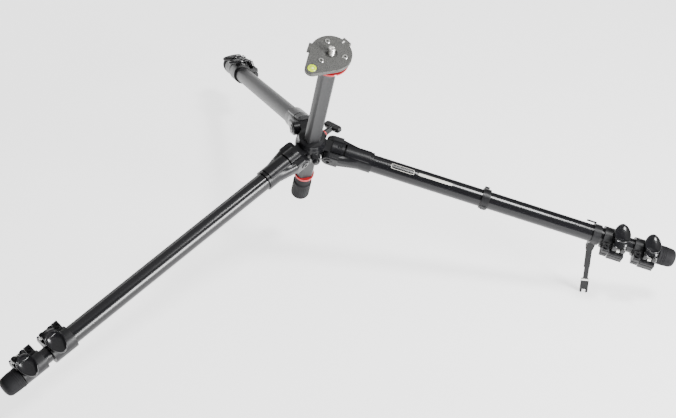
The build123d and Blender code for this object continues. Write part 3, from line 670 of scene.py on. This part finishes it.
class TRIPOD_OT_head_details(bpy.types.Operator):
    """Threaded head screw with a slot, the level's rim, ring and bubble, and the plate's printed marks"""
    bl_idname = "tripod.head_details"
    bl_label = "Head details"

    def screw(self, sizes):
        """Threaded side, then a slotted top. Radius falls from crest to root with the distance from the nearest
        turn of the helix, and from the crest to the tip over the last millimetre."""
        shape = corners("head_screw", HEAD)
        low, top = shape[:, 2].min(), shape[:, 2].max()
        rows, cols, tip = 420, 72, 0.0010
        height = np.linspace(low, top - 0.0002, rows)[:, None]
        angle = np.linspace(0, tau, cols, endpoint=False)[None, :]
        phase = (height / sizes.pitch - angle / tau) % 1.0
        groove = np.clip(np.abs(phase - 0.5) * 2.6 - 0.25, 0, 1)
        crest = 0.0047625 - 0.0009 * np.clip((height - top + tip) / tip, 0, 1)
        radius = crest - sizes.thread * groove
        side = np.stack([radius * np.cos(angle), radius * np.sin(angle),
                         np.broadcast_to(height, radius.shape)], -1)
        share = np.linspace(1, 0.01, 40)[:, None]
        x, y = radius[-1] * share * np.cos(angle), radius[-1] * share * np.sin(angle)
        half_slot, slot_deep, soft = 0.0008, 0.0016, 0.0001
        slot = np.clip((half_slot - np.abs(y)) / soft, 0, 1)
        cap = np.stack([x, y, top - 0.0002 * share ** 8 - slot_deep * slot * np.ones_like(x)], -1)
        piece = surface("head_screw_thread", np.concatenate([side, cap], 0), matrix=HEAD)
        mat = textured("bright screw", (0.74, 0.73, 0.70), 0.32, 1.0, 2200.0, (0.85, 1.1), 0.06, 0.03, 0.0001)
        piece.data.materials.append(mat)
        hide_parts("head_screw")
        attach(piece, "column")

    def level(self, sizes, deck):
        """The level's rim on the deck, and its target ring and bubble just under the crown."""
        vial = corners("level_vial", HEAD)
        centre, crown = (vial.min(0) + vial.max(0)) / 2, vial[:, 2].max()
        ring_mat = textured("level ring print", (0.02, 0.03, 0.01), 0.4, 0.0, 900.0, (0.6, 1.4), 0.05, 0.1)
        bubble_mat = textured("air bubble", (0.85, 0.95, 0.45), 0.08, 0.0, 300.0, (0.9, 1.1), 0.02, 0.02)
        rim_mat = textured("level rim", (0.02, 0.02, 0.02), 0.35, 0.0, 1500.0, (0.6, 1.5), 0.05, 0.15)
        for name, size, thick, lift, finish in (("level_rim", 0.0062, 0.0003, deck + 0.00005, rim_mat),
                                                ("level_target", 0.0027, 0.00012, crown - 0.00012, ring_mat)):
            # ring: circle of the given radius swept with a small round section
            turn = np.linspace(0, tau, 96, endpoint=False)[:, None]
            small = np.linspace(0, tau, 16, endpoint=False)[None, :]
            reach = size + thick * np.cos(small)
            points = np.stack([centre[0] + reach * np.cos(turn), centre[1] + reach * np.sin(turn),
                               lift + thick * np.sin(small) * np.ones_like(turn)], -1)
            ring = surface(name, points, caps=False, loop=True, matrix=HEAD)
            ring.data.materials.append(finish)
            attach(ring, "column")
        share = np.linspace(1, 0.01, 14)[:, None]
        turn = np.linspace(0, tau, 40, endpoint=False)[None, :]
        # bubble: flat dome, height falls with the square of the distance from its middle
        points = np.stack([centre[0] + 0.0006 + sizes.bubble * share * np.cos(turn),
                           centre[1] - 0.0004 + sizes.bubble * share * np.sin(turn),
                           crown - 0.00025 + 0.0004 * (1 - share ** 2) * np.ones_like(turn)], -1)
        bubble = surface("level_bubble", points, matrix=HEAD)
        bubble.data.materials.append(bubble_mat)
        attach(bubble, "column")

    def marks(self, deck):
        """Printed marks, rounded oblongs under 0.2 mm thick: one flat on the deck, one round the ring's edge."""
        white = textured("white print", (0.75, 0.75, 0.73), 0.5, 0.0, 1200.0, (0.85, 1.1), 0.05, 0.05)
        ox, oy = oval(32, 6.0)
        thin = np.array([-0.00010, 0.00006])[:, None]
        deck_radius, ring_radius, ring_drop = 0.0250, 0.0265, 0.0152
        around = radians(34.0) + 0.0009 * ox / deck_radius
        reach = deck_radius + 0.0021 * oy
        flat_mark = np.stack([reach * np.cos(around) + 0 * thin, reach * np.sin(around) + 0 * thin,
                              deck + thin + 0 * ox], -1)
        around = radians(272.0) + 0.0014 * ox / ring_radius
        edge_mark = np.stack([(ring_radius + thin) * np.cos(around), (ring_radius + thin) * np.sin(around),
                              deck - ring_drop + 0.0013 * oy + 0 * thin], -1)
        for name, points in (("plate_index", flat_mark), ("ring_index", edge_mark)):
            mark = surface(name, points, matrix=HEAD, smooth=False)
            mark.data.materials.append(white)
            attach(mark, "column")

    def execute(self, context):
        sizes = context.scene.tripod_head
        deck = corners("head_plate", HEAD)[:, 2].max()
        self.screw(sizes)
        self.level(sizes, deck)
        self.marks(deck)
        return {"FINISHED"}


class PrintSizes(bpy.types.PropertyGroup):
    """Plain print on the right leg's upper tube, in metres and degrees."""
    facing: FloatProperty(name="Facing", description="Turn from the tube's top line towards +Y", default=-8.0)
    start: FloatProperty(name="Start", description="Distance from the pivot", unit="LENGTH", default=0.090)
    lift: FloatProperty(name="Ink", description="Thickness of the ink", unit="LENGTH", default=0.00004)


class TRIPOD_OT_prints(bpy.types.Operator):
    """An empty outlined label and a plain bar printed on the right leg's upper tube"""
    bl_idname = "tripod.prints"
    bl_label = "Plain prints"

    def execute(self, context):
        sizes = context.scene.tripod_print
        ink = textured("pale ink", (0.62, 0.61, 0.56), 0.45, 0.0, 1500.0, (0.8, 1.15), 0.05, 0.05)
        turn, tube, sunk = radians(sizes.facing), 0.0130, 0.0002
        low, high = tube - sunk, tube + sizes.lift

        def laid(x, angle, r):
            """Leg-frame points from the distance down the leg, the angle round it and the radius."""
            return np.stack(np.broadcast_arrays(x, r * np.sin(turn + angle), r * np.cos(turn + angle)), -1)

        # outline: a superellipse, its inner edge one line's width further in
        half_long, half_wide, line_width = 0.0175, 0.0040, 0.0007
        ox, oy = oval(96, 8.0)
        rows = []
        for inset, r in ((0.0, low), (0.0, high), (line_width, high), (line_width, low)):
            x = sizes.start + half_long + (half_long - inset) * ox
            rows.append(laid(x, (half_wide - inset) * oy / tube, r))
        label = surface("label_outline", np.stack(rows, 1), caps=False, loop=True, matrix=LEG["right"])
        # bar: half width follows the same superellipse along x; each section runs over the top and back below
        bar_middle, bar_half_long, bar_half_wide = 0.0670, 0.0260, 0.0022
        along = np.linspace(-0.999, 0.999, 60)[:, None]
        across = np.linspace(-1, 1, 13)[None, :]
        half = bar_half_wide * (1 - np.abs(along) ** 8) ** (1 / 8) / tube
        x = sizes.start + bar_middle + bar_half_long * along
        over, under = laid(x, half * across, high), laid(x, half * across[:, ::-1], low)
        bar = surface("label_bar", np.concatenate([over, under], 1), matrix=LEG["right"])
        for piece in (label, bar):
            piece.data.materials.append(ink)
            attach(piece, "leg_right")
        return {"FINISHED"}


# ---- panel and start -------------------------------------------------------------------------
STEPS = ("castings", "tubes", "small_finishes", "levers", "rubbers", "head_details", "prints", "stage")


class TRIPOD_PT_panel(bpy.types.Panel):
    """Buttons for every step, with its sizes and colours"""
    bl_idname = "TRIPOD_PT_panel"
    bl_label = "Camera tripod"
    bl_space_type = "VIEW_3D"
    bl_region_type = "UI"
    bl_category = "Tripod"

    def draw(self, context):
        column = self.layout.column()
        for name in GROUPS:
            group = getattr(context.scene, name)
            for key in group.__annotations__:
                column.prop(group, key)
        for step in STEPS:
            column.operator(f"tripod.{step}")


GROUPS = {"tripod_finish": TripodFinish, "tripod_lever": LeverSizes, "tripod_rubber": RubberSizes,
          "tripod_head": HeadSizes, "tripod_print": PrintSizes, "tripod_stage": TripodStage}
CLASSES = (TRIPOD_OT_castings, TRIPOD_OT_tubes, TRIPOD_OT_small_finishes, TRIPOD_OT_levers, TRIPOD_OT_rubbers,
           TRIPOD_OT_head_details, TRIPOD_OT_prints, TRIPOD_OT_stage, TRIPOD_PT_panel)


def register():
    for cls in (*GROUPS.values(), *CLASSES):
        bpy.utils.register_class(cls)
    for name, group in GROUPS.items():
        setattr(bpy.types.Scene, name, PointerProperty(type=group))


def unregister():
    for name in GROUPS:
        delattr(bpy.types.Scene, name)
    for cls in reversed((*GROUPS.values(), *CLASSES)):
        bpy.utils.unregister_class(cls)


def main():
    """Registers the add-on and runs every step in order."""
    register()
    for step in STEPS:
        getattr(bpy.ops.tripod, step)()


if __name__ == "__main__":
    main()
